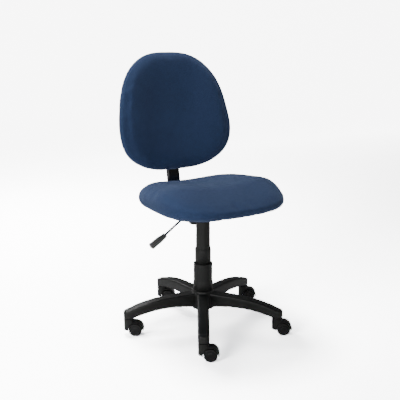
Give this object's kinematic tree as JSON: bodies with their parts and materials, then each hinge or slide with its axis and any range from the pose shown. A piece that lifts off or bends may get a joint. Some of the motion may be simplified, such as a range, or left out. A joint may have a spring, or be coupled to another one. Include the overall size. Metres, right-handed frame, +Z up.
{
  "type": "swivel office chair",
  "caption": "Armless swivel task chair: contoured fabric seat and back on a gas column with telescopic cover and a five-star base on twin-wheel casters.",
  "frame": {"origin": "on the floor under the swivel axis", "axes": "+Z up, the sitter faces -Y, +X to the sitter's left"},
  "size_m": [0.6241, 0.6138, 1.0189],
  "materials": {
    "black_nylon": "satin",
    "zinc_steel": "brushed",
    "hood_plastic": "satin",
    "axle_steel": "polished",
    "wheel_nylon": "satin",
    "column_steel": "semi-gloss",
    "bushing_plastic": "matte",
    "cover_plastic": "fine grain",
    "black_steel": "powder coat",
    "lever_steel": "gloss",
    "grip_plastic": "gloss",
    "pad_brass": "satin",
    "knob_plastic": "satin",
    "bar_gloss": "gloss",
    "cap_plastic": "satin",
    "plywood": "raw",
    "shell_plastic": "fine grain",
    "navy_fabric": "plain weave"
  },
  "bodies": {
    "base": {"five_star_base": "black_nylon", "hub_ring": "zinc_steel", "caster_stems": "zinc_steel", "column_tube": "column_steel", "guide_bushing": "bushing_plastic", "bearing_race": "zinc_steel", "cover_lower": "cover_plastic"},
    "spindle": {"piston_rod": "axle_steel", "thrust_bearing": "axle_steel", "retaining_clip": "zinc_steel"},
    "cover_stage": {"cover_middle": "cover_plastic"},
    "seat_unit": {"gas_cylinder": "column_steel", "cover_upper": "cover_plastic", "mechanism_pan": "black_steel", "bar_sleeve": "black_steel", "lever_pin": "zinc_steel", "seat_board": "plywood", "seat_under_cover": "shell_plastic", "seat_cushion": "navy_fabric", "seat_bolts": "black_steel", "tee_nuts": "zinc_steel"},
    "release_lever": {"lever_rod": "lever_steel", "lever_grip": "grip_plastic"},
    "valve": {"valve_button": "zinc_steel"},
    "bar_unit": {"back_bar": "bar_gloss", "bar_end_caps": "cap_plastic"},
    "depth_clamp": {"depth_pad": "pad_brass"},
    "depth_turn": {"depth_knob": "knob_plastic"},
    "back_unit": {"back_board": "plywood", "back_cushion": "navy_fabric", "back_shell": "shell_plastic", "back_bracket": "black_steel", "bracket_screws": "zinc_steel"},
    "height_clamp": {"height_pad": "pad_brass"},
    "height_turn": {"height_knob": "knob_plastic"},
    "caster_1": {"caster_hood_1": "hood_plastic", "caster_axle_1": "axle_steel"},
    "wheel_1a": {"caster_wheel_1a": "wheel_nylon"},
    "wheel_1b": {"caster_wheel_1b": "wheel_nylon"},
    "caster_2": {"caster_hood_2": "hood_plastic", "caster_axle_2": "axle_steel"},
    "wheel_2a": {"caster_wheel_2a": "wheel_nylon"},
    "wheel_2b": {"caster_wheel_2b": "wheel_nylon"},
    "caster_3": {"caster_hood_3": "hood_plastic", "caster_axle_3": "axle_steel"},
    "wheel_3a": {"caster_wheel_3a": "wheel_nylon"},
    "wheel_3b": {"caster_wheel_3b": "wheel_nylon"},
    "caster_4": {"caster_hood_4": "hood_plastic", "caster_axle_4": "axle_steel"},
    "wheel_4a": {"caster_wheel_4a": "wheel_nylon"},
    "wheel_4b": {"caster_wheel_4b": "wheel_nylon"},
    "caster_5": {"caster_hood_5": "hood_plastic", "caster_axle_5": "axle_steel"},
    "wheel_5a": {"caster_wheel_5a": "wheel_nylon"},
    "wheel_5b": {"caster_wheel_5b": "wheel_nylon"}
  },
  "joints": [
    {"name": "caster_1_swivel", "type": "hinge", "parent": "base", "child": "caster_1", "pos_m": [-0.145, -0.25115, 0.058], "axis": [0, 0, 1], "continuous": true},
    {"name": "wheel_1a_spin", "type": "hinge", "parent": "caster_1", "child": "wheel_1a", "pos_m": [-0.12456, -0.26295, 0.025], "axis": [0.5, 0.866, 0], "continuous": true},
    {"name": "wheel_1b_spin", "type": "hinge", "parent": "caster_1", "child": "wheel_1b", "pos_m": [-0.12456, -0.26295, 0.025], "axis": [0.5, 0.866, 0], "continuous": true},
    {"name": "caster_2_swivel", "type": "hinge", "parent": "base", "child": "caster_2", "pos_m": [0.19405, -0.21551, 0.058], "axis": [0, 0, 1], "continuous": true},
    {"name": "wheel_2a_spin", "type": "hinge", "parent": "caster_2", "child": "wheel_2a", "pos_m": [0.21449, -0.22731, 0.025], "axis": [0.5, 0.866, 0], "continuous": true},
    {"name": "wheel_2b_spin", "type": "hinge", "parent": "caster_2", "child": "wheel_2b", "pos_m": [0.21449, -0.22731, 0.025], "axis": [0.5, 0.866, 0], "continuous": true},
    {"name": "caster_3_swivel", "type": "hinge", "parent": "base", "child": "caster_3", "pos_m": [0.26493, 0.11795, 0.058], "axis": [0, 0, 1], "continuous": true},
    {"name": "wheel_3a_spin", "type": "hinge", "parent": "caster_3", "child": "wheel_3a", "pos_m": [0.28537, 0.10615, 0.025], "axis": [0.5, 0.866, 0], "continuous": true},
    {"name": "wheel_3b_spin", "type": "hinge", "parent": "caster_3", "child": "wheel_3b", "pos_m": [0.28537, 0.10615, 0.025], "axis": [0.5, 0.866, 0], "continuous": true},
    {"name": "caster_4_swivel", "type": "hinge", "parent": "base", "child": "caster_4", "pos_m": [-0.03031, 0.28841, 0.058], "axis": [0, 0, 1], "continuous": true},
    {"name": "wheel_4a_spin", "type": "hinge", "parent": "caster_4", "child": "wheel_4a", "pos_m": [-0.00988, 0.27661, 0.025], "axis": [0.5, 0.866, 0], "continuous": true},
    {"name": "wheel_4b_spin", "type": "hinge", "parent": "caster_4", "child": "wheel_4b", "pos_m": [-0.00988, 0.27661, 0.025], "axis": [0.5, 0.866, 0], "continuous": true},
    {"name": "caster_5_swivel", "type": "hinge", "parent": "base", "child": "caster_5", "pos_m": [-0.28366, 0.06029, 0.058], "axis": [0, 0, 1], "continuous": true},
    {"name": "wheel_5a_spin", "type": "hinge", "parent": "caster_5", "child": "wheel_5a", "pos_m": [-0.26322, 0.04849, 0.025], "axis": [0.5, 0.866, 0], "continuous": true},
    {"name": "wheel_5b_spin", "type": "hinge", "parent": "caster_5", "child": "wheel_5b", "pos_m": [-0.26322, 0.04849, 0.025], "axis": [0.5, 0.866, 0], "continuous": true},
    {"name": "seat_swivel", "type": "hinge", "parent": "base", "child": "spindle", "pos_m": [0, 0, 0.07], "axis": [0, 0, 1], "continuous": true},
    {"name": "seat_height", "type": "slide", "parent": "spindle", "child": "seat_unit", "axis": [0, 0, 1], "range_m": [-0.12, 0]},
    {"name": "cover_slide", "type": "slide", "parent": "spindle", "child": "cover_stage", "axis": [0, 0, 1], "range_m": [-0.06, 0]},
    {"name": "lever_lift", "type": "hinge", "parent": "seat_unit", "child": "release_lever", "pos_m": [-0.025, 0, 0.4665], "axis": [0, 1, 0], "range_deg": [0, 9], "stiffness_Nm_per_rad": 0.8, "springref_deg": -5.73},
    {"name": "valve_press", "type": "slide", "parent": "seat_unit", "child": "valve", "axis": [0, 0, 1], "range_m": [-0.004, 0]},
    {"name": "back_depth", "type": "slide", "parent": "seat_unit", "child": "bar_unit", "axis": [0, 1, 0], "range_m": [-0.012, 0.025]},
    {"name": "depth_knob_turn", "type": "hinge", "parent": "depth_clamp", "child": "depth_turn", "pos_m": [0, 0.058, 0.43], "axis": [0, 0, -1], "range_deg": [0, 360]},
    {"name": "depth_clamp_slide", "type": "slide", "parent": "seat_unit", "child": "depth_clamp", "axis": [0, 0, -1], "range_m": [0, 0.0013]},
    {"name": "back_height", "type": "slide", "parent": "bar_unit", "child": "back_unit", "axis": [0, 0.1822, 0.9833], "range_m": [-0.01, 0.05]},
    {"name": "height_knob_turn", "type": "hinge", "parent": "height_clamp", "child": "height_turn", "pos_m": [0, 0.28385, 0.69248], "axis": [0, 0.9833, -0.1822], "range_deg": [0, 360]},
    {"name": "height_clamp_slide", "type": "slide", "parent": "back_unit", "child": "height_clamp", "axis": [0, 0.9833, -0.1822], "range_m": [0, 0.0013]}
  ],
  "couplings": [
    {"joint": "cover_slide", "follows": "seat_height", "ratio": 0.5},
    {"joint": "valve_press", "follows": "lever_lift", "m_per_rad": -0.025},
    {"joint": "depth_clamp_slide", "follows": "depth_knob_turn", "m_per_rad": 0.00019894},
    {"joint": "height_clamp_slide", "follows": "height_knob_turn", "m_per_rad": 0.00019894}
  ]
}
